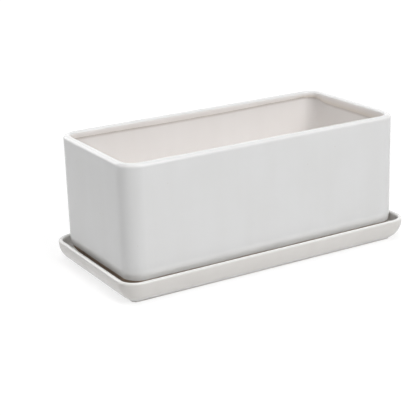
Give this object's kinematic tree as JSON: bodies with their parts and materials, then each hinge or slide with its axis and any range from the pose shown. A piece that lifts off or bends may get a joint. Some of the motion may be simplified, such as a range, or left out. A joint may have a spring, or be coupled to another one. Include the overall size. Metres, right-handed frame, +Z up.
{
  "type": "indoor herb planter",
  "caption": "Rectangular glazed ceramic herb planter with rounded corners and a thick rim, standing in a matching shallow saucer.",
  "frame": {"origin": "on the table under the middle of the saucer", "axes": "+X along the planter's length, +Z up"},
  "size_m": [0.2666, 0.1334, 0.108],
  "materials": {
    "pot_glaze": "gloss",
    "saucer_glaze": "gloss"
  },
  "bodies": {
    "saucer": {"saucer": "saucer_glaze"},
    "pot": {"pot": "pot_glaze"}
  },
  "joints": [
    {"name": "pot_lift", "type": "slide", "parent": "saucer", "child": "pot", "axis": [0, 0, 1], "range_m": [0, 0.12]}
  ]
}
